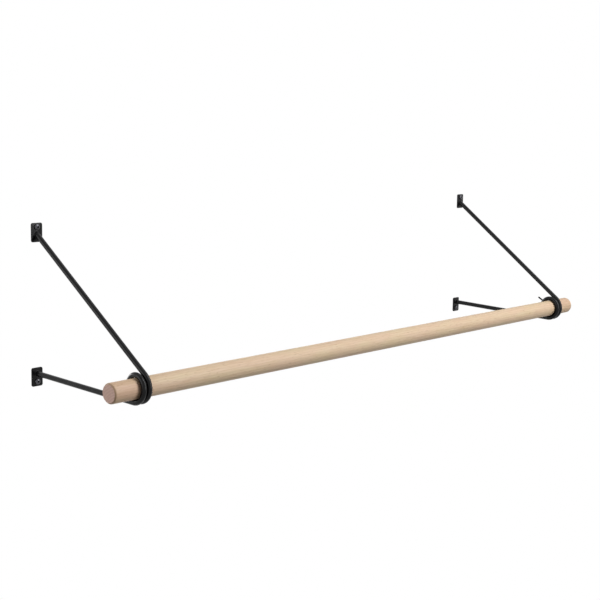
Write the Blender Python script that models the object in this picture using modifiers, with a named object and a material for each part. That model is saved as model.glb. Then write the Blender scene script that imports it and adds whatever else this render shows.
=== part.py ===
"""Wall-mounted clothes rail: a round wooden rail that slides in two bent-rod wall brackets.

Frame: +X along the rail, +Y into the wall, +Z up. The wall's face is the plane y = 0, and the
origin is the middle of the four wall plates on that face.
"""

import math

import bmesh
import bpy
import numpy as np
from mathutils import Matrix

MM = 0.001

# Hanging rail
RAIL_LENGTH = 1200 * MM
RAIL_DIAMETER = 30 * MM
RAIL_CHAMFER = 2 * MM
RAIL_LEFT_OVERHANG = 52 * MM
RAIL_RIGHT_OVERHANG = 58 * MM
RAIL_STANDOFF = 232 * MM
RAIL_ABOVE_LOWER_PLATE = 18.5 * MM

# Bracket rods
ROD_DIAMETER = 8 * MM
LOOP_CLEARANCE = 0.4 * MM
STRAND_GAP = 1.3 * MM
LEAD_ANGLE = math.radians(45)
UPPER_LEAD_RISE = 1.9 * MM
LOWER_LEAD_RISE = 0.4 * MM

# Wall plates
PLATE_SPACING = 220 * MM
PLATE_WIDTH = 20 * MM
PLATE_HEIGHT = 29 * MM
PLATE_THICKNESS = 2 * MM
PLATE_CORNER_RADIUS = 3 * MM
PLATE_EDGE_ROUND = 0.4 * MM
PLATE_SIDE_OFFSET = 1.5 * MM

# Wall screws
SCREW_LENGTH = 40 * MM
SCREW_SHANK_DIAMETER = 4.5 * MM
SCREW_HEAD_DIAMETER = 9 * MM
SCREW_HEAD_HEIGHT = 3 * MM
SCREW_HEAD_RIM = 0.8 * MM
SCREW_POINT_LENGTH = 7 * MM
SOCKET_ACROSS_CORNERS = 3.4 * MM
SOCKET_DEPTH = 1.8 * MM
UPPER_SCREW_RISE = 8.3 * MM
LOWER_SCREW_DROP = 7.2 * MM

# Weld beads
WELD_LEG = 1 * MM
WELD_LIP = 0.5 * MM
UPPER_WELD_TO_HEAD = 0.4 * MM
LOWER_WELD_TO_HEAD = 2.9 * MM

# Stop pin
PIN_DIAMETER = 3 * MM
PIN_DEPTH = 10 * MM
PIN_PROUD = 22 * MM
PIN_CHAMFER = 0.4 * MM
PIN_ANGLE = math.radians(29.5)
PIN_TO_STRAND = 0.4 * MM

# Gaps between touching pieces, and how finely round shapes are cut
SEAT_GAP = 0.3 * MM
TRIM = 8 * MM
MERGE_DISTANCE = 0.01 * MM
RAIL_SEGMENTS = 64
ROD_BEVEL_RESOLUTION = 6
LOOP_STEPS = 72
RING_SEGMENTS = 32
SCREW_SEGMENTS = 24
DOME_STEPS = 6
CORNER_STEPS = 6
SHARP_ANGLE = math.radians(35)

# Places worked out from the sizes above
RAIL_RADIUS = RAIL_DIAMETER / 2
ROD_RADIUS = ROD_DIAMETER / 2
LOOP_RADIUS = RAIL_RADIUS + LOOP_CLEARANCE + ROD_RADIUS
UPPER_PLATE_Z = PLATE_SPACING / 2
LOWER_PLATE_Z = -PLATE_SPACING / 2
RAIL_Y = -RAIL_STANDOFF
RAIL_Z = LOWER_PLATE_Z + RAIL_ABOVE_LOWER_PLATE
BRACKET_SPACING = RAIL_LENGTH - RAIL_LEFT_OVERHANG - RAIL_RIGHT_OVERHANG
LEFT_X = -BRACKET_SPACING / 2
RIGHT_X = BRACKET_SPACING / 2
RAIL_MIDDLE_X = LEFT_X - RAIL_LEFT_OVERHANG + RAIL_LENGTH / 2
SEAT_Y = -PLATE_THICKNESS - SEAT_GAP
UPPER_SCREW_Z = UPPER_PLATE_Z + UPPER_SCREW_RISE
LOWER_SCREW_Z = LOWER_PLATE_Z - LOWER_SCREW_DROP
HEAD_RADIUS = SCREW_HEAD_DIAMETER / 2
UPPER_LINE = LOOP_RADIUS + UPPER_LEAD_RISE
LOWER_LINE = LOOP_RADIUS + LOWER_LEAD_RISE

# Colours as the eye sees them, with roughness and metallic value
WOOD_LOOK = ("D5C0A4", 0.55, 0.0)
COAT_LOOK = ("0F0F11", 0.35, 0.0)
SCREW_LOOK = ("4E4E52", 0.38, 1.0)
PIN_LOOK = ("1F1F21", 0.45, 1.0)


def clear_scene():
    """Removes whatever the file holds."""
    for obj in list(bpy.data.objects):
        bpy.data.objects.remove(obj, do_unlink=True)


def new_collection(name):
    collection = bpy.data.collections.new(name)
    bpy.context.scene.collection.children.link(collection)
    return collection


def linear(channel):
    """Linear value of one sRGB channel between 0 and 1."""
    if channel <= 0.04045:
        return channel / 12.92
    return ((channel + 0.055) / 1.055) ** 2.4


def new_material(name, look):
    colour, roughness, metallic = look
    channels = [linear(int(colour[i:i + 2], 16) / 255) for i in (0, 2, 4)]
    material = bpy.data.materials.new(name)
    material.use_nodes = True
    shader = material.node_tree.nodes["Principled BSDF"]
    shader.inputs["Base Color"].default_value = (*channels, 1.0)
    shader.inputs["Roughness"].default_value = roughness
    shader.inputs["Metallic"].default_value = metallic
    return material


def add_object(name, data, collection, parent=None):
    obj = bpy.data.objects.new(name, data)
    collection.objects.link(obj)
    obj.parent = parent
    return obj


def add_empty(name, place, collection):
    empty = add_object(name, None, collection)
    empty.location = place
    return empty


def as_cutter(obj):
    obj.hide_render = True
    obj.display_type = "WIRE"
    return obj


def cut(obj, cutter):
    boolean = obj.modifiers.new(cutter.name, "BOOLEAN")
    boolean.operation = "DIFFERENCE"
    boolean.solver = "EXACT"
    boolean.object = cutter


def shade(mesh):
    """Round faces look round and real edges stay sharp."""
    mesh.shade_smooth()
    mesh.set_sharp_from_angle(angle=SHARP_ANGLE)


def turned(name, profile, steps, closed, collection, parent=None):
    """A profile of (radius, height) points turned about local Z, from the top down its outer side."""
    count = len(profile)
    edges = [(i, (i + 1) % count) for i in range(count if closed else count - 1)]
    mesh = bpy.data.meshes.new(name)
    mesh.from_pydata([(radius, 0, height) for radius, height in profile], edges, [])
    obj = add_object(name, mesh, collection, parent)
    screw = obj.modifiers.new("turn", "SCREW")
    screw.steps = steps
    screw.render_steps = steps
    screw.use_merge_vertices = True
    screw.merge_threshold = MERGE_DISTANCE
    return obj


def made_mesh(source):
    """Replaces a curve, or an object with modifiers, by a welded plain mesh in the same place."""
    bpy.context.view_layer.update()
    evaluated = source.evaluated_get(bpy.context.evaluated_depsgraph_get())
    mesh = bpy.data.meshes.new_from_object(evaluated)
    shape = bmesh.new()
    shape.from_mesh(mesh)
    bmesh.ops.remove_doubles(shape, verts=shape.verts, dist=MERGE_DISTANCE)
    bmesh.ops.recalc_face_normals(shape, faces=shape.faces)
    shape.to_mesh(mesh)
    shape.free()
    shade(mesh)
    name = source.name
    obj = bpy.data.objects.new(name, mesh)
    source.users_collection[0].objects.link(obj)
    obj.parent = source.parent
    obj.matrix_world = source.matrix_world
    bpy.data.objects.remove(source, do_unlink=True)
    obj.name = name
    return obj


def cylinder(name, radius, depth, segments, collection, parent=None):
    """A closed cylinder along local Z, with its middle at the object's origin."""
    shape = bmesh.new()
    bmesh.ops.create_cone(
        shape, cap_ends=True, segments=segments, radius1=radius, radius2=radius, depth=depth
    )
    mesh = bpy.data.meshes.new(name)
    shape.to_mesh(mesh)
    shape.free()
    return add_object(name, mesh, collection, parent)


def smooth_share(share):
    """Rises from 0 to 1 with level ends."""
    return share * share * (3 - 2 * share)


def leg_tilt(plate_z):
    """Angle between the plate's normal and the upper leg that starts at the plate's middle."""
    reach = RAIL_STANDOFF - PLATE_THICKNESS
    drop = plate_z - RAIL_Z
    return math.atan2(drop, reach) - math.asin(UPPER_LINE / math.hypot(reach, drop))


def weld_half_height(tilt):
    return (ROD_RADIUS + WELD_LEG) / math.cos(tilt)


def upper_rod_z():
    """The upper leg meets its plate just below the screw, with room for the weld bead."""
    half = weld_half_height(leg_tilt(UPPER_PLATE_Z))
    return UPPER_SCREW_Z - HEAD_RADIUS - UPPER_WELD_TO_HEAD - half


def lower_rod_z():
    """The lower leg meets its plate above the screw; it stands nearly square to the wall."""
    return LOWER_SCREW_Z + HEAD_RADIUS + LOWER_WELD_TO_HEAD + weld_half_height(0)


def wrap_angles():
    """Angles from +Y toward +Z, about the rail, where the upper leg arrives and the lower leg leaves.

    Each leg is a straight line from its plate that touches a circle round the rail.
    """
    reach = RAIL_STANDOFF - PLATE_THICKNESS
    up = upper_rod_z() - RAIL_Z
    down = lower_rod_z() - RAIL_Z
    arrive = math.atan2(up, reach) + math.acos(UPPER_LINE / math.hypot(reach, up))
    leave = math.atan2(down, reach) - math.acos(LOWER_LINE / math.hypot(reach, down))
    return arrive, leave + 4 * math.pi


def strand_x(angle):
    """Side place of the rod's centre at an angle of the wrap: it moves from right to left."""
    arrive, leave = wrap_angles()
    one_turn = smooth_share(2 * math.pi / (leave - arrive))
    shift = (ROD_DIAMETER + STRAND_GAP) / one_turn
    return shift * (0.5 - smooth_share((angle - arrive) / (leave - arrive)))


def loop_points():
    """Rod centres round the rail: the loop's circle, opened at both ends into wider lead arcs."""
    arrive, leave = wrap_angles()
    angle = np.linspace(arrive, leave, LOOP_STEPS + 1)
    widen = 1 / (1 - math.cos(LEAD_ANGLE))
    radius = np.full_like(angle, LOOP_RADIUS)
    radius[angle < arrive + LEAD_ANGLE] += UPPER_LEAD_RISE * widen
    radius[angle > leave - LEAD_ANGLE] += LOWER_LEAD_RISE * widen
    merge = np.clip(angle, arrive + LEAD_ANGLE, leave - LEAD_ANGLE)
    back = LOOP_RADIUS - radius
    y = RAIL_Y + radius * np.cos(angle) + back * np.cos(merge)
    z = RAIL_Z + radius * np.sin(angle) + back * np.sin(merge)
    return np.stack([strand_x(angle), y, z], axis=1)


def plate_point(side, z):
    """Where a leg's axis meets its plate's front face."""
    return np.array([side * PLATE_SIDE_OFFSET, -PLATE_THICKNESS, z])


def rod_points():
    """The whole rod's centres, with both ends run on past the plates to be trimmed."""
    loop = loop_points()
    top = plate_point(1, upper_rod_z())
    bottom = plate_point(-1, lower_rod_z())
    top_way = (top - loop[0]) / np.linalg.norm(top - loop[0])
    bottom_way = (bottom - loop[-1]) / np.linalg.norm(bottom - loop[-1])
    return np.vstack([top + TRIM * top_way, loop, bottom + TRIM * bottom_way])


def least_loop_gap():
    """Least clear distance between the rod's two passes round the front of the rail."""
    points = loop_points()
    apart = np.linalg.norm(points[:, None] - points[None], axis=2)
    row = np.arange(len(points))
    far_along = np.abs(row[:, None] - row[None]) > len(points) // 2
    return apart[far_along].min() - ROD_DIAMETER


def make_rail(collection, cutters, slide, material):
    half = RAIL_LENGTH / 2
    end_radius = RAIL_RADIUS - RAIL_CHAMFER
    profile = [
        (0, half),
        (end_radius, half),
        (RAIL_RADIUS, half - RAIL_CHAMFER),
        (RAIL_RADIUS, RAIL_CHAMFER - half),
        (end_radius, -half),
        (0, -half),
    ]
    rail = turned("hanging_rail", profile, RAIL_SEGMENTS, False, collection, slide)
    rail.rotation_euler = (0, math.pi / 2, 0)
    rail = made_mesh(rail)
    rail.data.materials.append(material)
    depth = PIN_DEPTH + SEAT_GAP
    hole = cylinder("pin_hole", PIN_DIAMETER / 2 + SEAT_GAP, 2 * depth, SCREW_SEGMENTS, cutters, slide)
    place_radial(hole, RAIL_RADIUS)
    cut(rail, as_cutter(hole))


def pin_x():
    """The pin stands just to the right of the right loop's strand behind the rail."""
    strand_edge = strand_x(PIN_ANGLE + 2 * math.pi) + ROD_RADIUS
    return RIGHT_X + strand_edge + PIN_TO_STRAND + PIN_DIAMETER / 2


def place_radial(obj, radius):
    """Puts an object's origin at a radius of the rail, with its local Z pointing outward along the pin."""
    obj.location = (
        pin_x() - RAIL_MIDDLE_X,
        radius * math.cos(PIN_ANGLE),
        radius * math.sin(PIN_ANGLE),
    )
    obj.rotation_euler = (PIN_ANGLE - math.pi / 2, 0, 0)


def make_pin(collection, slide, material):
    radius = PIN_DIAMETER / 2
    end_radius = radius - PIN_CHAMFER
    profile = [
        (0, PIN_PROUD),
        (end_radius, PIN_PROUD),
        (radius, PIN_PROUD - PIN_CHAMFER),
        (radius, PIN_CHAMFER - PIN_DEPTH),
        (end_radius, -PIN_DEPTH),
        (0, -PIN_DEPTH),
    ]
    pin = turned("rail_stop_pin", profile, SCREW_SEGMENTS, False, collection, slide)
    place_radial(pin, RAIL_RADIUS)
    made_mesh(pin).data.materials.append(material)


def make_rod(side, collection, cutters, bracket, material):
    curve = bpy.data.curves.new(side + "_bracket_rod", "CURVE")
    curve.dimensions = "3D"
    curve.bevel_depth = ROD_RADIUS
    curve.bevel_resolution = ROD_BEVEL_RESOLUTION
    curve.use_fill_caps = True
    points = rod_points()
    spline = curve.splines.new("POLY")
    spline.points.add(len(points) - 1)
    for target, point in zip(spline.points, points):
        target.co = (*point, 1.0)
    rod = made_mesh(add_object(curve.name, curve, collection, bracket))
    rod.data.materials.append(material)
    cut(rod, make_wall_side(side, cutters, bracket))


def make_wall_side(side, cutters, bracket):
    """A block over the wall side of the plates' front faces, which trims both rod ends flat."""
    shape = bmesh.new()
    bmesh.ops.create_cube(shape, size=1.0)
    depth = 4 * TRIM
    size = (4 * PLATE_WIDTH, depth, PLATE_SPACING + 2 * PLATE_HEIGHT)
    bmesh.ops.scale(shape, vec=size, verts=shape.verts)
    bmesh.ops.translate(shape, vec=(0, SEAT_Y + depth / 2, 0), verts=shape.verts)
    mesh = bpy.data.meshes.new(side + "_wall_side")
    shape.to_mesh(mesh)
    shape.free()
    return as_cutter(add_object(mesh.name, mesh, cutters, bracket))


def plate_outline():
    """Corner arcs of the plate's outline, counted round from the upper right corner."""
    points = []
    for quarter in range(4):
        turn = quarter * math.pi / 2
        right = 1 if quarter in (0, 3) else -1
        up = 1 if quarter in (0, 1) else -1
        middle_x = right * (PLATE_WIDTH / 2 - PLATE_CORNER_RADIUS)
        middle_y = up * (PLATE_HEIGHT / 2 - PLATE_CORNER_RADIUS)
        for angle in np.linspace(turn, turn + math.pi / 2, CORNER_STEPS + 1):
            x = middle_x + PLATE_CORNER_RADIUS * math.cos(angle)
            y = middle_y + PLATE_CORNER_RADIUS * math.sin(angle)
            points.append((x, y))
    return points


def make_plate(name, place, screw_z, collection, cutters, bracket, material):
    curve = bpy.data.curves.new(name, "CURVE")
    curve.dimensions = "2D"
    curve.fill_mode = "BOTH"
    curve.extrude = PLATE_THICKNESS / 2 - PLATE_EDGE_ROUND
    curve.bevel_depth = PLATE_EDGE_ROUND
    curve.bevel_resolution = 1
    curve.offset = -PLATE_EDGE_ROUND
    outline = plate_outline()
    spline = curve.splines.new("POLY")
    spline.points.add(len(outline) - 1)
    for target, (x, y) in zip(spline.points, outline):
        target.co = (x, y, 0, 1)
    spline.use_cyclic_u = True
    plate = add_object(name, curve, collection, bracket)
    plate.location = (place[0], -PLATE_THICKNESS / 2, place[1])
    plate.rotation_euler = (math.pi / 2, 0, 0)
    plate = made_mesh(plate)
    plate.data.materials.append(material)
    hole_radius = SCREW_SHANK_DIAMETER / 2 + SEAT_GAP
    hole = cylinder(name + "_hole", hole_radius, 4 * PLATE_THICKNESS, SCREW_SEGMENTS, cutters, bracket)
    hole.location = (place[0], -PLATE_THICKNESS / 2, screw_z)
    hole.rotation_euler = (math.pi / 2, 0, 0)
    cut(plate, as_cutter(hole))


def make_weld(name, place, way, collection, bracket, material):
    """A bead round a rod's end: a turned ring, stretched and sheared to follow the leaning leg."""
    hole = ROD_RADIUS + SEAT_GAP
    profile = [
        (hole, WELD_LEG),
        (ROD_RADIUS + WELD_LIP, WELD_LEG),
        (ROD_RADIUS + WELD_LIP + (WELD_LEG - WELD_LIP) / 3, WELD_LEG / 3),
        (ROD_RADIUS + WELD_LEG, 0),
        (hole, 0),
    ]
    weld = made_mesh(turned(name, profile, RING_SEGMENTS, True, collection, bracket))
    lean_x = way[0] / way[1]
    lean_z = way[2] / way[1]
    stretch = math.hypot(1, lean_z)
    lean = Matrix(((1, 0, -lean_x, 0), (0, 0, -1, 0), (0, stretch, -lean_z, 0), (0, 0, 0, 1)))
    weld.data.transform(lean)
    weld.location = (place[0] - lean_x * SEAT_GAP, SEAT_Y, place[2] - lean_z * SEAT_GAP)
    weld.data.materials.append(material)


def make_screw(name, x, z, collection, cutters, bracket, material):
    """A raised-head wood screw, with its head's underside on the plate and its point in the wall."""
    shank = SCREW_SHANK_DIAMETER / 2
    dome = SCREW_HEAD_HEIGHT - SCREW_HEAD_RIM
    profile = []
    for angle in np.linspace(math.pi / 2, 0, DOME_STEPS + 1):
        profile.append((HEAD_RADIUS * math.cos(angle), SCREW_HEAD_RIM + dome * math.sin(angle)))
    profile[0] = (0, SCREW_HEAD_HEIGHT)
    profile.append((HEAD_RADIUS, 0))
    profile.append((shank, 0))
    profile.append((shank, SCREW_POINT_LENGTH - SCREW_LENGTH))
    profile.append((0, -SCREW_LENGTH))
    screw = turned(name, profile, SCREW_SEGMENTS, False, collection, bracket)
    screw.location = (x, SEAT_Y, z)
    screw.rotation_euler = (math.pi / 2, 0, 0)
    screw = made_mesh(screw)
    screw.data.materials.append(material)
    socket = cylinder(name + "_socket", SOCKET_ACROSS_CORNERS / 2, 2 * SOCKET_DEPTH, 6, cutters, bracket)
    socket.location = (x, SEAT_Y - SCREW_HEAD_HEIGHT, z)
    socket.rotation_euler = (math.pi / 2, 0, 0)
    cut(screw, as_cutter(socket))


def make_bracket(side, x, collection, cutters, materials):
    bracket = add_empty(side + "_bracket", (x, 0, 0), collection)
    make_rod(side, collection, cutters, bracket, materials["rod"])
    loop = loop_points()
    ends = [
        ("upper", 1, UPPER_PLATE_Z, UPPER_SCREW_Z, upper_rod_z(), loop[0]),
        ("lower", -1, LOWER_PLATE_Z, LOWER_SCREW_Z, lower_rod_z(), loop[-1]),
    ]
    for level, hand, plate_z, screw_z, rod_z, loop_end in ends:
        plate_x = hand * PLATE_SIDE_OFFSET
        start = plate_point(hand, rod_z)
        name = side + "_" + level
        middle = (plate_x, plate_z)
        make_plate(name + "_plate", middle, screw_z, collection, cutters, bracket, materials["plate"])
        make_weld(name + "_weld", start, loop_end - start, collection, bracket, materials["weld"])
        make_screw(name + "_screw", plate_x, screw_z, collection, cutters, bracket, materials["screw"])


def main():
    clear_scene()
    collection = new_collection("wall_clothes_rail")
    cutters = new_collection("cutters")
    materials = {
        "rail": new_material("pale_wood", WOOD_LOOK),
        "rod": new_material("black_coated_rod", COAT_LOOK),
        "plate": new_material("black_coated_plate", COAT_LOOK),
        "weld": new_material("black_coated_weld", COAT_LOOK),
        "screw": new_material("dark_screw_steel", SCREW_LOOK),
        "pin": new_material("dark_pin_steel", PIN_LOOK),
    }
    slide = add_empty("rail_slide", (RAIL_MIDDLE_X, RAIL_Y, RAIL_Z), collection)
    make_rail(collection, cutters, slide, materials["rail"])
    make_pin(collection, slide, materials["pin"])
    make_bracket("left", LEFT_X, collection, cutters, materials)
    make_bracket("right", RIGHT_X, collection, cutters, materials)
    print("least gap between the rod's turns, mm:", round(least_loop_gap() / MM, 2))


main()
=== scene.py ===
"""Dresses the wall-mounted clothes rail: turned wood, bent coated rods, welded plates and wall screws.

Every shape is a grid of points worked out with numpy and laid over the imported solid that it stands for.
The frame is +X along the rail, +Y into the wall and +Z up, in metres, with the wall's face at y = 0.
"""

import math

import bmesh
import bpy
import numpy as np
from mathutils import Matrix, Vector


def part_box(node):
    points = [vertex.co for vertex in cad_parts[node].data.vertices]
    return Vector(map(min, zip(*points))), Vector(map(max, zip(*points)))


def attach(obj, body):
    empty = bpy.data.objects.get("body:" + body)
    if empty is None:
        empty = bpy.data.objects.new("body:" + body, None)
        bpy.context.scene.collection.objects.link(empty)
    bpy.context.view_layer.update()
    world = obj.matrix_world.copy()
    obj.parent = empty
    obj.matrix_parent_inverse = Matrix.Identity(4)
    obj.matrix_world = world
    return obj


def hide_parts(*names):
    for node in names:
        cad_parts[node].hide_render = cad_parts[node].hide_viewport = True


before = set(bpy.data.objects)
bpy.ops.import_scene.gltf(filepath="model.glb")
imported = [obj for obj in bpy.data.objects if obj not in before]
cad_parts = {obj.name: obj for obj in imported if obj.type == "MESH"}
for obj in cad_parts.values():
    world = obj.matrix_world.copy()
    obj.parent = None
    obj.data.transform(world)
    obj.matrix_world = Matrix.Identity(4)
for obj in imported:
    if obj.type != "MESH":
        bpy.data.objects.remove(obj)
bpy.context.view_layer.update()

MM = 0.001
FULL_TURN = 2 * math.pi
QUARTER_TURN = math.pi / 2
ALONG_RAIL = np.array([1.0, 0.0, 0.0])
INTO_ROOM = np.array([0.0, -1.0, 0.0])
SIDES = ("left", "right")
LEVELS = ("upper", "lower")

# Camera, matched to the photograph's perspective
CAMERA_PLACE = np.array([-1712.9, -1592.0, 302.6]) * MM
CAMERA_TURN = np.radians([81.511, -0.882, -47.756])
CAMERA_LENS_MM = 77.80
CAMERA_SENSOR_MM = 36.0

# Sizes that the solids are built to
ROD_RADIUS = 4.0 * MM
STRAND_GAP = 1.3 * MM
LEAD_ANGLE = math.radians(45)
RAIL_CHAMFER = 2.0 * MM
PLATE_CORNER_RADIUS = 3.0 * MM
PLATE_EDGE_ROUND = 0.4 * MM
SCREW_HEAD_HEIGHT = 3.0 * MM
SCREW_HEAD_RIM = 0.8 * MM
SCREW_POINT_LENGTH = 7.0 * MM
SHANK_RADIUS = 2.25 * MM
SOCKET_FLAT_RADIUS = 1.47 * MM
SOCKET_DEPTH = 1.8 * MM
WELD_LEG = 1.0 * MM
PIN_RADIUS = 1.5 * MM
PIN_ANGLE = math.radians(29.5)
PIN_DEPTH = 10.0 * MM
PIN_PROUD = 22.0 * MM
SEAT_GAP = 0.3 * MM

# The drawn rod wears its coat, so its loop is drawn in to stay inside the solid's outline
COAT_THICKNESS = 0.08 * MM
DRAW_IN = 0.12 * MM
LOOP_CLEARANCE = 0.4 * MM - DRAW_IN
UPPER_LEAD_RISE = 1.9 * MM + DRAW_IN
LOWER_LEAD_RISE = 0.4 * MM + DRAW_IN

# Fine forms that the solids leave out: shares of a radius, leg or pitch, and domes' angles in radians
CHAMFER_SOFTNESS = 0.5 * MM
WELD_RIPPLE = 0.09 * MM
WELD_RIPPLES = 20
WELD_TUCK = 0.1 * MM
WELD_LIP_SHARE = 0.05
THREAD_PITCH = 2.0 * MM
THREAD_START = 5.0 * MM
THREAD_CORE_SHARE = 0.66
THREAD_FLANK_SHARE = 0.3
SCREW_TIP_SHARE = 0.04
HEAD_EDGE_ROUND = 0.25 * MM
HEAD_DOME_ANGLE = 1.15
SOCKET_LIP = 0.06 * MM
SOCKET_CHAMFER = 0.12 * MM
SOCKET_DRAFT_SHARE = 0.98
DRILL_DEPTH = 2.25 * MM
DRILL_SHARE = 0.3
PIN_DOME_ANGLE = 1.4

# How finely the shapes are drawn
RAIL_SIDES = 128
CHAMFER_RINGS = 13
HALF_RAIL_RINGS = 30
EVEN_RINGS_FROM = 20 * MM
ROD_SIDES = 32
LOOP_POINTS = 260
LEG_POINTS = 40
CORNER_POINTS = 10
EDGE_POINTS = 5
WELD_SIDES = 160
WELD_BOW_POINTS = 8
SCREW_SIDES = 48
THREAD_STEPS = 12
HEAD_DOME_POINTS = 9
PIN_SIDES = 32
PIN_DOME_POINTS = 8
SHARP_ANGLE = math.radians(38)
CUT_TOLERANCE = 0.05 * MM

# Grain of the wood: yearly rings about a pith beside the rail, sloped in radians and drawn out along it
RING_SPACING = 4.0 * MM
PITH_SHIFT = (0.0, 265 * MM, 141 * MM)
GRAIN_SLOPE = (0.0, 0.006, 0.004)
GRAIN_STRETCH = 0.06

# The wood is tinted darker and pinker near the ends, and the chamfers show cut fibre
END_TINT_DEPTH = 30 * MM
END_TINT_FADE = 60 * MM
CUT_FADE = 0.5 * MM

# A wave texture of scale 1 repeats at this distance
WAVE_PERIOD = FULL_TURN / 20

# Sockets of a Mix node set to colours, by number because its hidden sockets have the same names
MIX_SHARE = 0
MIX_A = 6
MIX_B = 7
MIX_COLOUR = 2


def solid_box(node):
    """A solid's lowest and highest corners at rest."""
    low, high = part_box(node)
    return np.array(low), np.array(high)


# Where the rail and its loops are
RAIL_LOW, RAIL_HIGH = solid_box("hanging_rail")
RAIL_MIDDLE = (RAIL_LOW + RAIL_HIGH) / 2
RAIL_RADIUS = (RAIL_HIGH[2] - RAIL_LOW[2]) / 2
LOOP_RADIUS = RAIL_RADIUS + LOOP_CLEARANCE + ROD_RADIUS


# Materials


def linear(hex_colour):
    """Linear RGBA of an sRGB hex colour."""
    channels = np.array([int(hex_colour[i:i + 2], 16) for i in (1, 3, 5)]) / 255
    low = channels / 12.92
    high = ((channels + 0.055) / 1.055) ** 2.4
    return (*np.where(channels <= 0.04045, low, high).tolist(), 1.0)


def add_node(tree, kind, settings=None, values=None, links=None, stops=()):
    """Adds one node with its settings, sockets' values, the sockets that feed it and any ramp's colours."""
    node = tree.nodes.new(kind)
    for name, value in (settings or {}).items():
        setattr(node, name, value)
    for name, value in (values or {}).items():
        node.inputs[name].default_value = value
    for name, socket in (links or {}).items():
        tree.links.new(socket, node.inputs[name])
    for index, (place, colour) in enumerate(stops):
        elements = node.color_ramp.elements
        element = elements[index] if index < len(elements) else elements.new(place)
        element.position = place
        element.color = linear(colour)
    return node


def new_material(name):
    """A new node material, its tree and its Principled shader."""
    material = bpy.data.materials.new(name)
    material.use_nodes = True
    tree = material.node_tree
    return material, tree, tree.nodes["Principled BSDF"]


def yearly_rings(tree, place):
    """A socket that runs from 0 to 1 across each yearly ring of the wood."""
    from_pith = add_node(
        tree,
        "ShaderNodeMapping",
        values={"Location": PITH_SHIFT, "Rotation": GRAIN_SLOPE, "Scale": (GRAIN_STRETCH, 1, 1)},
        links={"Vector": place},
    )
    rings = add_node(
        tree,
        "ShaderNodeTexWave",
        settings={"wave_type": "RINGS", "rings_direction": "X"},
        values={
            "Scale": WAVE_PERIOD / RING_SPACING,
            "Distortion": 3.0,
            "Detail": 3.0,
            "Detail Scale": 0.6,
        },
        links={"Vector": from_pith.outputs["Vector"]},
    )
    return rings.outputs["Fac"]


def beech_long_grain():
    """Turned beech under matt lacquer: pale straight grain, fine fibre lines and short dark ray flecks."""
    material, tree, shader = new_material("beech_long_grain")
    place = add_node(tree, "ShaderNodeTexCoord").outputs["Object"]
    # Each pattern's length, width and detail. Real streaks and flecks are a third of these widths, which
    # is too fine to show at the photograph's scale. Fibre lines keep their real width, so they show up
    # close only
    sizes = {
        "streaks": (60 * MM, 2.2 * MM, 2.0),
        "drift": (70 * MM, 14 * MM, 1.0),
        "fibres": (22 * MM, 0.6 * MM, 1.0),
        "flecks": (9 * MM, 1.2 * MM, 0.0),
    }
    pattern = {}
    for name, (length, width, detail) in sizes.items():
        drawn_out = add_node(
            tree,
            "ShaderNodeMapping",
            values={"Scale": (1 / length, 1 / width, 1 / width)},
            links={"Vector": place},
        )
        noise = add_node(
            tree,
            "ShaderNodeTexNoise",
            values={"Scale": 1.0, "Detail": detail},
            links={"Vector": drawn_out.outputs["Vector"]},
        )
        pattern[name] = noise.outputs["Fac"]
    grain = add_node(
        tree,
        "ShaderNodeMix",
        settings={"data_type": "FLOAT"},
        values={"Factor": 0.55},
        links={"A": yearly_rings(tree, place), "B": pattern["streaks"]},
    )
    colour = add_node(
        tree,
        "ShaderNodeValToRGB",
        links={"Fac": grain.outputs["Result"]},
        stops=[(0.2, "#DDCBB4"), (0.5, "#DAC8B1"), (0.85, "#D5C2AA")],
    ).outputs["Color"]
    tints = {
        "drift": [(0.35, "#FFF5EF"), (0.65, "#FDFAED")],
        "fibres": [(0.3, "#FFFFFF"), (0.7, "#F3EBE1")],
    }
    for name, stops in tints.items():
        tint = add_node(tree, "ShaderNodeValToRGB", links={"Fac": pattern[name]}, stops=stops)
        colour = add_node(
            tree,
            "ShaderNodeMix",
            settings={"data_type": "RGBA", "blend_type": "MULTIPLY"},
            values={MIX_SHARE: 1.0},
            links={MIX_A: colour, MIX_B: tint.outputs["Color"]},
        ).outputs[MIX_COLOUR]
    fleck_share = add_node(
        tree,
        "ShaderNodeMapRange",
        values={"From Min": 0.68, "From Max": 0.8, "To Max": 0.5},
        links={"Value": pattern["flecks"]},
    ).outputs["Result"]
    # A darker and pinker tint near each end of the rail
    end_tint = add_node(tree, "ShaderNodeAttribute", settings={"attribute_name": "end_tint"}).outputs["Fac"]
    cut = add_node(tree, "ShaderNodeAttribute", settings={"attribute_name": "cut"}).outputs["Fac"]
    overlays = [(fleck_share, "MIX", "#B08E70"), (end_tint, "MULTIPLY", "#F3EAE9"), (cut, "MIX", "#AD8F74")]
    for share, blend, tone in overlays:
        colour = add_node(
            tree,
            "ShaderNodeMix",
            settings={"data_type": "RGBA", "blend_type": blend},
            values={MIX_B: linear(tone)},
            links={MIX_SHARE: share, MIX_A: colour},
        ).outputs[MIX_COLOUR]
    tree.links.new(colour, shader.inputs["Base Color"])
    bump = add_node(
        tree,
        "ShaderNodeBump",
        values={"Strength": 0.25, "Distance": 0.05 * MM},
        links={"Height": pattern["fibres"]},
    )
    tree.links.new(bump.outputs["Normal"], shader.inputs["Normal"])
    roughness = add_node(
        tree,
        "ShaderNodeMapRange",
        values={"From Min": 0.3, "From Max": 0.7, "To Min": 0.47, "To Max": 0.63},
        links={"Value": pattern["streaks"]},
    )
    tree.links.new(roughness.outputs["Result"], shader.inputs["Roughness"])
    shader.inputs["IOR"].default_value = 1.5
    return material


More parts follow.
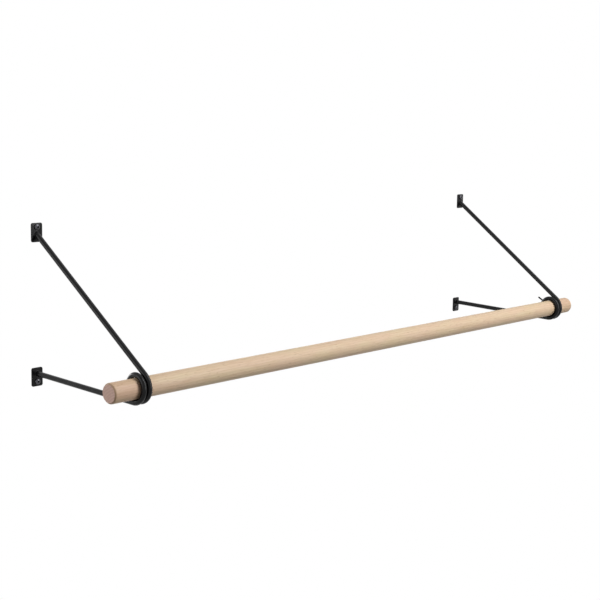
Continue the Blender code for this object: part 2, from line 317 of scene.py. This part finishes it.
def beech_end_grain():
    """Sawn and sanded end of the beech: pinker than its side, with ring arcs and fine dark pores."""
    material, tree, shader = new_material("beech_end_grain")
    pore_size = 0.5 * MM
    blotch_size = 5 * MM
    place = add_node(tree, "ShaderNodeTexCoord").outputs["Object"]
    pores = add_node(
        tree, "ShaderNodeTexNoise", values={"Scale": 1 / pore_size, "Detail": 2.0}, links={"Vector": place}
    ).outputs["Fac"]
    blotches = add_node(
        tree, "ShaderNodeTexNoise", values={"Scale": 1 / blotch_size, "Detail": 1.0}, links={"Vector": place}
    ).outputs["Fac"]
    tone = yearly_rings(tree, place)
    for pattern, share in ((pores, 0.55), (blotches, 0.45)):
        tone = add_node(
            tree,
            "ShaderNodeMix",
            settings={"data_type": "FLOAT"},
            values={"Factor": share},
            links={"A": tone, "B": pattern},
        ).outputs["Result"]
    colour = add_node(
        tree,
        "ShaderNodeValToRGB",
        links={"Fac": tone},
        stops=[(0.25, "#DAB9AA"), (0.75, "#C4A092")],
    )
    tree.links.new(colour.outputs["Color"], shader.inputs["Base Color"])
    bump = add_node(
        tree,
        "ShaderNodeBump",
        values={"Strength": 0.3, "Distance": 0.05 * MM},
        links={"Height": pores},
    )
    tree.links.new(bump.outputs["Normal"], shader.inputs["Normal"])
    shader.inputs["Roughness"].default_value = 0.7
    shader.inputs["IOR"].default_value = 1.5
    return material


def black_powder_coat():
    """Satin black powder coat on steel: nearly black, fine orange peel, thin and grey along sharp edges."""
    material, tree, shader = new_material("black_powder_coat")
    place = add_node(tree, "ShaderNodeTexCoord").outputs["Object"]
    # Each pattern's size and detail
    sizes = {"peel": (0.8 * MM, 2.0), "film": (9 * MM, 2.0), "chips": (1.1 * MM, 1.0)}
    pattern = {}
    for name, (size, detail) in sizes.items():
        noise = add_node(
            tree, "ShaderNodeTexNoise", values={"Scale": 1 / size, "Detail": detail}, links={"Vector": place}
        )
        pattern[name] = noise.outputs["Fac"]
    coat_colour = add_node(
        tree,
        "ShaderNodeValToRGB",
        links={"Fac": pattern["film"]},
        stops=[(0.3, "#0C0C0D"), (0.7, "#121214")],
    )
    edge = add_node(tree, "ShaderNodeAttribute", settings={"attribute_name": "edge"})
    rubbed = add_node(
        tree,
        "ShaderNodeMapRange",
        values={"From Min": 0.45, "From Max": 0.75, "To Max": 0.4},
        links={"Value": pattern["chips"]},
    )
    worn = add_node(
        tree,
        "ShaderNodeMath",
        settings={"operation": "MULTIPLY"},
        links={0: edge.outputs["Fac"], 1: rubbed.outputs["Result"]},
    )
    colour = add_node(
        tree,
        "ShaderNodeMix",
        settings={"data_type": "RGBA"},
        values={MIX_B: linear("#2E2E30")},
        links={MIX_SHARE: worn.outputs["Value"], MIX_A: coat_colour.outputs["Color"]},
    )
    tree.links.new(colour.outputs[MIX_COLOUR], shader.inputs["Base Color"])
    roughness = add_node(
        tree,
        "ShaderNodeMapRange",
        values={"From Min": 0.3, "From Max": 0.7, "To Min": 0.18, "To Max": 0.26},
        links={"Value": pattern["film"]},
    )
    tree.links.new(roughness.outputs["Result"], shader.inputs["Roughness"])
    bump = add_node(
        tree,
        "ShaderNodeBump",
        values={"Strength": 0.15, "Distance": 0.03 * MM},
        links={"Height": pattern["peel"]},
    )
    tree.links.new(bump.outputs["Normal"], shader.inputs["Normal"])
    shader.inputs["IOR"].default_value = 1.26
    return material


def dark_zinc_steel(name, hex_light, hex_dark, roughness):
    """Dark passivated steel: a grey metal, uneven in tone from its bath, and painted near black in its
    socket: painted shade plus its unworn darker finish.
    """
    material, tree, shader = new_material(name)
    patch_size = 1.5 * MM
    roughness_spread = 0.05
    place = add_node(tree, "ShaderNodeTexCoord").outputs["Object"]
    patches = add_node(
        tree, "ShaderNodeTexNoise", values={"Scale": 1 / patch_size, "Detail": 3.0}, links={"Vector": place}
    ).outputs["Fac"]
    plated = add_node(
        tree,
        "ShaderNodeValToRGB",
        links={"Fac": patches},
        stops=[(0.3, hex_dark), (0.7, hex_light)],
    )
    socket_shade_and_finish = add_node(tree, "ShaderNodeAttribute", settings={"attribute_name": "socket_shade_and_finish"})
    # Painted shade: the socket is painted near black, partly its unworn darker finish and partly shade
    colour = add_node(
        tree,
        "ShaderNodeMix",
        settings={"data_type": "RGBA"},
        values={MIX_B: linear("#17171A")},
        links={MIX_SHARE: socket_shade_and_finish.outputs["Fac"], MIX_A: plated.outputs["Color"]},
    )
    tree.links.new(colour.outputs[MIX_COLOUR], shader.inputs["Base Color"])
    uneven = add_node(
        tree,
        "ShaderNodeMapRange",
        values={
            "From Min": 0.3,
            "From Max": 0.7,
            "To Min": roughness - roughness_spread,
            "To Max": roughness + roughness_spread,
        },
        links={"Value": patches},
    )
    tree.links.new(uneven.outputs["Result"], shader.inputs["Roughness"])
    shader.inputs["Metallic"].default_value = 1.0
    return material


# Shapes


def smooth_share(share):
    """Rises from 0 to 1 with level ends."""
    return share * share * (3 - 2 * share)


def mirrored(values):
    """One half's values from its end to the middle, followed by the other half's back out to its end."""
    return np.concatenate([values, values[-2::-1]])


def grid_mesh(name, rings, close_rows=False, caps=False):
    """A mesh of quads over rings[i, j], point j of closed ring i, with flat caps or the rows closed too."""
    rows, count = rings.shape[:2]
    i = np.arange(rows if close_rows else rows - 1)[:, None]
    j = np.arange(count)[None]
    after_i = (i + 1) % rows
    after_j = (j + 1) % count
    quads = np.stack([i * count + j, i * count + after_j, after_i * count + after_j, after_i * count + j], 2)
    faces = quads.reshape(-1, 4).tolist()
    if caps:
        faces.append(np.arange(count)[::-1].tolist())
        faces.append(((rows - 1) * count + np.arange(count)).tolist())
    mesh = bpy.data.meshes.new(name)
    mesh.from_pydata(rings.reshape(-1, 3).tolist(), [], faces)
    shape = bmesh.new()
    shape.from_mesh(mesh)
    bmesh.ops.recalc_face_normals(shape, faces=shape.faces)
    shape.to_mesh(mesh)
    shape.free()
    mesh.shade_smooth()
    mesh.set_sharp_from_angle(angle=SHARP_ANGLE)
    return mesh


def mark_rings(mesh, name, shares):
    """Writes one share for each ring's points, which a material reads by its name."""
    values = np.repeat(shares, len(mesh.vertices) // len(shares))
    attribute = mesh.attributes.new(name, "FLOAT", "POINT")
    attribute.data.foreach_set("value", values.astype(np.float32))


def add_piece(name, mesh, materials, body, node):
    """Puts a finished mesh on its body in place of the solid that it stands for."""
    piece = bpy.data.objects.new(name, mesh)
    bpy.context.scene.collection.objects.link(piece)
    for material in materials:
        mesh.materials.append(material)
    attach(piece, body)
    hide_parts(node)


def turned_rings(radii, heights, origin, axis, count):
    """Circles round an axis: an origin, plus heights along the axis, plus radii outward at even angles.

    Each height has one radius, or one for each of its count angles.
    """
    across = np.cross(axis, ALONG_RAIL)
    if not across.any():
        across = -INTO_ROOM
    other = np.cross(axis, across)
    angle = np.linspace(0, FULL_TURN, count, endpoint=False)[:, None]
    outward = np.cos(angle) * across + np.sin(angle) * other
    radii = radii.reshape(len(heights), -1, 1)
    return origin + heights[:, None, None] * axis + radii * outward


def make_rail(long_grain, end_grain):
    """The rail: R less a softened 45 degree chamfer, (u + sqrt(u^2 + k^2)) / 2, with u = chamfer - depth."""
    half = (RAIL_HIGH[0] - RAIL_LOW[0]) / 2
    near_end = np.append(np.linspace(0, 2 * RAIL_CHAMFER, CHAMFER_RINGS), 4 * RAIL_CHAMFER)
    depth = np.concatenate([near_end, np.linspace(EVEN_RINGS_FROM, half, HALF_RAIL_RINGS)])
    past = RAIL_CHAMFER - depth
    radius = RAIL_RADIUS - (past + np.hypot(past, CHAMFER_SOFTNESS)) / 2
    heights = np.concatenate([depth - half, (half - depth)[-2::-1]])
    rings = turned_rings(mirrored(radius), heights, RAIL_MIDDLE, ALONG_RAIL, RAIL_SIDES)
    mesh = grid_mesh("beech_rail", rings, caps=True)
    index = np.zeros(len(mesh.polygons), dtype=np.int32)
    index[-2:] = 1
    mesh.polygons.foreach_set("material_index", index)
    # The darker, pinker tint is full near each end, then fades out along the rail
    end_tint = 1 - smooth_share(np.clip((depth - END_TINT_DEPTH) / END_TINT_FADE, 0, 1))
    mark_rings(mesh, "cut", mirrored(np.clip(past / CUT_FADE, 0, 1)))
    mark_rings(mesh, "end_tint", mirrored(end_tint))
    add_piece("beech_rail", mesh, [long_grain, end_grain], "rail", "hanging_rail")


def rod_ends(side):
    """Middles of the rod's two cut ends, upper first, from the solid's own points at the plates."""
    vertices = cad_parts[side + "_bracket_rod"].data.vertices
    points = np.empty(3 * len(vertices), dtype=np.float32)
    vertices.foreach_get("co", points)
    points = points.reshape(-1, 3).astype(float)
    cut = points[points[:, 1] > points[:, 1].max() - CUT_TOLERANCE]
    high = cut[:, 2] > 0
    return [(part.min(0) + part.max(0)) / 2 for part in (cut[high], cut[~high])]


def rod_path(side):
    """Centres of one bent rod: a straight leg, a lead arc, a turn and more round the rail, and out again.

    Angles run about the rail from +Y toward +Z. Each leg touches a circle a little wider than the loop,
    and the strand moves sideways by a smooth step, so that one turn clears the next.
    """
    top, bottom = rod_ends(side)
    middle_x = (top[0] + bottom[0]) / 2
    rail_y, rail_z = RAIL_MIDDLE[1:]
    up = top[1:] - RAIL_MIDDLE[1:]
    down = bottom[1:] - RAIL_MIDDLE[1:]
    upper_lead = math.acos((LOOP_RADIUS + UPPER_LEAD_RISE) / math.hypot(*up))
    lower_lead = math.acos((LOOP_RADIUS + LOWER_LEAD_RISE) / math.hypot(*down))
    arrive = math.atan2(up[1], up[0]) + upper_lead
    leave = math.atan2(down[1], down[0]) - lower_lead + 2 * FULL_TURN
    angle = np.linspace(arrive, leave, LOOP_POINTS)
    widen = 1 / (1 - math.cos(LEAD_ANGLE))
    radius = np.full_like(angle, LOOP_RADIUS)
    radius[angle < arrive + LEAD_ANGLE] += UPPER_LEAD_RISE * widen
    radius[angle > leave - LEAD_ANGLE] += LOWER_LEAD_RISE * widen
    merge = np.clip(angle, arrive + LEAD_ANGLE, leave - LEAD_ANGLE)
    back = LOOP_RADIUS - radius
    shift = (2 * ROD_RADIUS + STRAND_GAP) / smooth_share(FULL_TURN / (leave - arrive))
    x = middle_x + shift * (0.5 - smooth_share((angle - arrive) / (leave - arrive)))
    y = rail_y + radius * np.cos(angle) + back * np.cos(merge)
    z = rail_z + radius * np.sin(angle) + back * np.sin(merge)
    loop = np.stack([x, y, z], 1)
    share = np.linspace(0, 1, LEG_POINTS, endpoint=False)[:, None]
    return np.vstack([top + (loop[0] - top) * share, loop, bottom + (loop[-1] - bottom) * share[::-1]])


def tube_rings(path, radius, count):
    """Circles square to a path that stays nearly upright across X: one axis of each lies towards X."""
    way = np.gradient(path, axis=0)
    way /= np.linalg.norm(way, axis=1)[:, None]
    side = ALONG_RAIL - way * way[:, :1]
    side /= np.linalg.norm(side, axis=1)[:, None]
    other = np.cross(way, side)
    angle = np.linspace(0, FULL_TURN, count, endpoint=False)[None, :, None]
    return path[:, None] + radius * (np.cos(angle) * side[:, None] + np.sin(angle) * other[:, None])


def make_rod(side, path, coat):
    """One bent rod as a round tube, with both end rings slid along their legs onto the plates' faces."""
    rings = tube_rings(path, ROD_RADIUS + COAT_THICKNESS, ROD_SIDES)
    face_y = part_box(side + "_upper_plate")[0][1]
    for end, inner in ((0, 1), (-1, -2)):
        way = path[end] - path[inner]
        steps = (face_y - rings[end, :, 1]) / way[1]
        rings[end] += steps[:, None] * way
    mesh = grid_mesh(side + "_bent_rod", rings, caps=True)
    add_piece(side + "_bent_rod", mesh, [coat], "brackets", side + "_bracket_rod")


def plate_outline(inset, width, height):
    """Rounded rectangle about the plate's middle, inset all round: straight sides joined by corner arcs."""
    radius = PLATE_CORNER_RADIUS - inset
    turn = np.linspace(0, QUARTER_TURN, CORNER_POINTS)
    corners = []
    for quarter, (right, up) in enumerate([(1, 1), (-1, 1), (-1, -1), (1, -1)]):
        angle = turn + quarter * QUARTER_TURN
        x = right * (width / 2 - PLATE_CORNER_RADIUS) + radius * np.cos(angle)
        z = up * (height / 2 - PLATE_CORNER_RADIUS) + radius * np.sin(angle)
        corners.append(np.stack([x, z], 1))
    points = np.vstack(corners)
    ahead = np.roll(points, -1, axis=0)
    return np.stack([points, (points + ahead) / 2], 1).reshape(-1, 2)


def make_plate(side, level, coat):
    """A plate with rounded edges and a screw hole: loops from the hole, over the face, round to the back."""
    name = f"{side}_{level}_plate"
    low, high = solid_box(name)
    screw_low, screw_high = solid_box(f"{side}_{level}_screw")
    middle = (low + high) / 2
    width, thickness, height = high - low
    hole = ((screw_low + screw_high) / 2 - middle)[[0, 2]]
    from_hole = plate_outline(0.0, width, height) - hole
    bearing = np.arctan2(from_hole[:, 1], from_hole[:, 0])
    hole_ring = hole + (SHANK_RADIUS + SEAT_GAP) * np.stack([np.cos(bearing), np.sin(bearing)], 1)
    arc = np.linspace(0, QUARTER_TURN, EDGE_POINTS)
    insets = PLATE_EDGE_ROUND * (1 - np.sin(arc))
    rise = thickness / 2 - PLATE_EDGE_ROUND * (1 - np.cos(arc))
    front = [hole_ring] + [plate_outline(inset, width, height) for inset in insets]
    front_y = -np.concatenate([[thickness / 2], rise])
    flat = np.stack(front + front[::-1])
    y = np.broadcast_to(np.concatenate([front_y, -front_y[::-1]])[:, None], flat.shape[:2])
    rings = middle + np.stack([flat[..., 0], y, flat[..., 1]], 2)
    mesh = grid_mesh(f"{name}_coated", rings, close_rows=True)
    worn = np.concatenate([[0], np.sin(2 * arc)])
    mark_rings(mesh, "edge", np.concatenate([worn, worn[::-1]]))
    add_piece(f"{name}_coated", mesh, [coat], "brackets", name)


def make_weld(side, level, end, way, coat):
    """A fillet bead round a rod's end: a concave section, rippled by |sin|, that leans with the rod."""
    name = f"{side}_{level}_weld"
    face_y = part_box(f"{side}_{level}_plate")[0][1]
    angle = np.linspace(0, FULL_TURN, WELD_SIDES, endpoint=False)
    leg = WELD_LEG - WELD_RIPPLE + WELD_RIPPLE * np.abs(np.sin(angle * WELD_RIPPLES / 2))
    bow = np.linspace(0, QUARTER_TURN, WELD_BOW_POINTS)
    lip = [WELD_LIP_SHARE]
    out = np.concatenate([lip, 1 - (1 - WELD_LIP_SHARE) * np.sin(bow), lip])
    rise = np.concatenate([[0.0], 1 - np.cos(bow), [0.5]])
    reach = ROD_RADIUS - WELD_TUCK + out[:, None] * leg
    height = rise[:, None] * leg
    lean_x = way[0] / way[1]
    lean_z = way[2] / way[1]
    start_x = end[0] + lean_x * (face_y - end[1])
    start_z = end[2] + lean_z * (face_y - end[1])
    x = start_x + reach * np.cos(angle) - lean_x * height
    z = start_z + reach * np.sin(angle) * math.hypot(1, lean_z) - lean_z * height
    mesh = grid_mesh(f"{name}_bead", np.stack([x, face_y - height, z], 2), close_rows=True)
    add_piece(f"{name}_bead", mesh, [coat], "brackets", name)


def screw_shank(length):
    """Radii and heights from the tip up: a point, a helical thread on a core, and plain under the head.

    r = R * point * share, where the share rises from the core's to 1 as depth / pitch + angle nears a crest.
    """
    angle = np.linspace(0, FULL_TURN, SCREW_SIDES, endpoint=False)
    depth = np.arange(length, 0, -THREAD_PITCH / THREAD_STEPS)[:, None]
    point = np.clip((length - depth) / SCREW_POINT_LENGTH, SCREW_TIP_SHARE, 1)
    phase = (depth / THREAD_PITCH + angle / FULL_TURN) % 1
    crest = np.clip(1 - np.abs(phase - 0.5) / THREAD_FLANK_SHARE, 0, 1)
    share = THREAD_CORE_SHARE + (1 - THREAD_CORE_SHARE) * crest
    plain = smooth_share(np.clip((THREAD_START - depth) / THREAD_PITCH, 0, 1))
    return SHANK_RADIUS * point * (share + (1 - share) * plain), -depth[:, 0]


def screw_head(radius):
    """Radii and heights from the shank out and over: a flat underside, a rim and a dome, r = R cos(a)."""
    dome = np.linspace(0, HEAD_DOME_ANGLE, HEAD_DOME_POINTS)
    rise = (SCREW_HEAD_HEIGHT - SCREW_HEAD_RIM) * np.sin(dome)
    radii = np.concatenate([[SHANK_RADIUS, radius - HEAD_EDGE_ROUND, radius], radius * np.cos(dome)])
    heights = np.concatenate([[0, 0, HEAD_EDGE_ROUND], SCREW_HEAD_RIM + rise])
    return np.repeat(radii[:, None], SCREW_SIDES, 1), heights


def screw_socket(mouth):
    """Radii and heights from the mouth down: a hexagon, flat radius over the cosine from a flat's middle."""
    angle = np.linspace(0, FULL_TURN, SCREW_SIDES, endpoint=False)
    from_flat = (angle + math.pi / 6) % (math.pi / 3) - math.pi / 6
    hexagon = SOCKET_FLAT_RADIUS / np.cos(from_flat)
    radii = [hexagon + SOCKET_CHAMFER, hexagon, hexagon * SOCKET_DRAFT_SHARE, hexagon * DRILL_SHARE]
    depths = [0, SOCKET_CHAMFER, SOCKET_DEPTH, DRILL_DEPTH]
    return np.stack(radii), mouth - np.array(depths)


def make_screw(side, level, steel):
    """A wood screw turned about its axis: from the tip up its thread, over its head and down its socket."""
    name = f"{side}_{level}_screw"
    low, high = solid_box(name)
    shank_radii, shank_heights = screw_shank(high[1] - low[1] - SCREW_HEAD_HEIGHT)
    head_radii, head_heights = screw_head((high[0] - low[0]) / 2)
    socket_radii, socket_heights = screw_socket(head_heights[-1] + SOCKET_LIP)
    radii = np.vstack([shank_radii, head_radii, socket_radii])
    heights = np.concatenate([shank_heights, head_heights, socket_heights])
    seat = np.array([(low[0] + high[0]) / 2, low[1] + SCREW_HEAD_HEIGHT, (low[2] + high[2]) / 2])
    rings = turned_rings(radii, heights, seat, INTO_ROOM, SCREW_SIDES)
    mesh = grid_mesh(f"{name}_threaded", rings, caps=True)
    # All of the socket but its mouth, painted near black: painted shade plus its unworn darker finish
    socket_shade_and_finish = np.zeros(len(heights))
    socket_shade_and_finish[1 - len(socket_heights):] = 1
    mark_rings(mesh, "socket_shade_and_finish", socket_shade_and_finish)
    add_piece(f"{name}_threaded", mesh, [steel], "brackets", name)


def make_pin(steel):
    """The stop pin: a straight round wire with a domed outer end, r = R cos(a), h = H + R sin(a)."""
    low, high = solid_box("rail_stop_pin")
    axis = np.array([0, math.cos(PIN_ANGLE), math.sin(PIN_ANGLE)])
    foot = np.array([(low[0] + high[0]) / 2, *RAIL_MIDDLE[1:]]) + RAIL_RADIUS * axis
    dome = np.linspace(0, PIN_DOME_ANGLE, PIN_DOME_POINTS)
    radii = np.concatenate([[PIN_RADIUS] * 3, PIN_RADIUS * np.cos(dome)])
    tip = PIN_PROUD - PIN_RADIUS + PIN_RADIUS * np.sin(dome)
    heights = np.concatenate([[-PIN_DEPTH, 0, PIN_PROUD / 2], tip])
    mesh = grid_mesh("stop_pin_wire", turned_rings(radii, heights, foot, axis, PIN_SIDES), caps=True)
    add_piece("stop_pin_wire", mesh, [steel], "rail", "rail_stop_pin")


def dress():
    """Makes every piece of the object."""
    coat = black_powder_coat()
    screw_steel = dark_zinc_steel("dark_zinc_screw", "#56565A", "#404044", 0.3)
    pin_steel = dark_zinc_steel("dark_steel_wire", "#242426", "#1A1A1C", 0.45)
    make_rail(beech_long_grain(), beech_end_grain())
    make_pin(pin_steel)
    for side in SIDES:
        path = rod_path(side)
        make_rod(side, path, coat)
        legs = {"upper": (path[0], path[1] - path[0]), "lower": (path[-1], path[-2] - path[-1])}
        for level in LEVELS:
            make_plate(side, level, coat)
            make_weld(side, level, *legs[level], coat)
            make_screw(side, level, screw_steel)


# Stage, light and camera


def add_plane(name, corners, material):
    """A flat stage piece with four corners."""
    mesh = bpy.data.meshes.new(name)
    mesh.from_pydata(corners, [], [(0, 1, 2, 3)])
    mesh.materials.append(material)
    plane = bpy.data.objects.new(name, mesh)
    bpy.context.scene.collection.objects.link(plane)
    return plane


def white_wall():
    """The wall's face as plain white, seen from the room only, so that it hides what is inside the wall."""
    material, tree, shader = new_material("white_wall")
    white = add_node(tree, "ShaderNodeEmission", values={"Strength": 1.0})
    clear = add_node(tree, "ShaderNodeBsdfTransparent")
    behind = add_node(tree, "ShaderNodeNewGeometry")
    shown = add_node(
        tree,
        "ShaderNodeMixShader",
        links={0: behind.outputs["Backfacing"], 1: white.outputs["Emission"], 2: clear.outputs["BSDF"]},
    )
    tree.links.new(shown.outputs["Shader"], tree.nodes["Material Output"].inputs["Surface"])
    tree.nodes.remove(shader)
    return material


def seen_share(tree):
    """A socket that is 1 for what the camera sees, also mirrored or through glass, and 0 for other light."""
    path = add_node(tree, "ShaderNodeLightPath")
    seen = path.outputs["Is Camera Ray"]
    for ray in ("Is Glossy Ray", "Is Transmission Ray"):
        seen = add_node(
            tree,
            "ShaderNodeMath",
            settings={"operation": "MAXIMUM"},
            links={0: seen, 1: path.outputs[ray]},
        ).outputs["Value"]
    return seen


def pale_floor():
    """A pale matt floor that takes the object's shadow and fades to the white of the room far away."""
    material, tree, shader = new_material("pale_floor")
    # Its glow is only for the eye: as a lamp, it would leave the real lamps fewer rays and more speckle
    material.cycles.emission_sampling = "NONE"
    fade_start = 2.0
    fade_end = 9.0
    place = add_node(tree, "ShaderNodeTexCoord").outputs["Object"]
    away = add_node(tree, "ShaderNodeVectorMath", settings={"operation": "LENGTH"}, links={0: place})
    lift = add_node(
        tree,
        "ShaderNodeMapRange",
        values={"From Min": fade_start, "From Max": fade_end, "To Min": 0.74, "To Max": 0.97},
        links={"Value": away.outputs["Value"]},
    )
    shown = add_node(
        tree,
        "ShaderNodeMath",
        settings={"operation": "MULTIPLY"},
        links={0: seen_share(tree), 1: lift.outputs["Result"]},
    )
    tree.links.new(shown.outputs["Value"], shader.inputs["Emission Strength"])
    shader.inputs["Emission Color"].default_value = linear("#FFFFFF")
    shader.inputs["Base Color"].default_value = linear("#848482")
    shader.inputs["Roughness"].default_value = 0.9
    return material


def make_stage():
    """Wall and floor; the wall only shows to the camera and throws no light or shade."""
    reach = 20.0
    floor_z = -1.75
    wall_y = 0.2 * MM
    outline = ((-reach, -reach), (reach, -reach), (reach, reach), (-reach, reach))
    wall = add_plane("wall_face", [(x, wall_y, max(z, floor_z)) for x, z in outline], white_wall())
    wall.visible_diffuse = False
    wall.visible_glossy = False
    wall.visible_transmission = False
    wall.visible_shadow = False
    add_plane("floor", [(x, y, floor_z) for x, y in outline], pale_floor())


def make_world(ambient):
    """White to the camera and to reflections, and a weaker even light on the object."""
    world = bpy.data.worlds.new("studio")
    bpy.context.scene.world = world
    world.use_nodes = True
    tree = world.node_tree
    strength = add_node(
        tree,
        "ShaderNodeMapRange",
        values={"To Min": ambient, "To Max": 1.0},
        links={"Value": seen_share(tree)},
    )
    background = tree.nodes["Background"]
    background.inputs["Color"].default_value = linear("#FFFFFF")
    tree.links.new(strength.outputs["Result"], background.inputs["Strength"])


def add_softbox(name, place, target, wide, high, power):
    """A soft light aimed at a point, so wide along the level and so high."""
    light = bpy.data.lights.new(name, "AREA")
    light.shape = "RECTANGLE"
    light.size = wide
    light.size_y = high
    light.energy = power
    lamp = bpy.data.objects.new(name, light)
    bpy.context.scene.collection.objects.link(lamp)
    aim = np.array(target) - np.array(place)
    aim = aim / np.linalg.norm(aim)
    level = math.atan2(aim[0], -aim[1])
    lamp.rotation_euler = (math.acos(-aim[2]), 0, level + math.pi)
    lamp.location = place


def make_light():
    """A tall softbox high in front, weak ones low, above, past the left end and behind, and room light."""
    middle = RAIL_MIDDLE.tolist()
    left_end = [RAIL_LOW[0], *RAIL_MIDDLE[1:]]
    make_world(ambient=0.16)
    add_softbox("key", (1.3, -2.16, 2.21), middle, wide=1.0, high=3.1, power=90)
    add_softbox("front_low", (0.9, -3.0, 0.4), middle, wide=1.5, high=1.0, power=22)
    add_softbox("top", (0.3, -0.3, 2.6), middle, wide=2.0, high=1.0, power=6)
    add_softbox("left_fill", (-2.3, 0.5, 0.5), left_end, wide=2.0, high=1.4, power=17.5)
    add_softbox("back", (-0.6, 2.6, 0.1), middle, wide=2.0, high=1.0, power=32)


def make_camera():
    """The photograph's viewpoint."""
    data = bpy.data.cameras.new("camera")
    data.lens = CAMERA_LENS_MM
    data.sensor_width = CAMERA_SENSOR_MM
    camera = bpy.data.objects.new("camera", data)
    bpy.context.scene.collection.objects.link(camera)
    camera.location = CAMERA_PLACE
    camera.rotation_euler = CAMERA_TURN
    bpy.context.scene.camera = camera


dress()
make_stage()
make_light()
make_camera()
bpy.context.scene.view_settings.view_transform = "Standard"
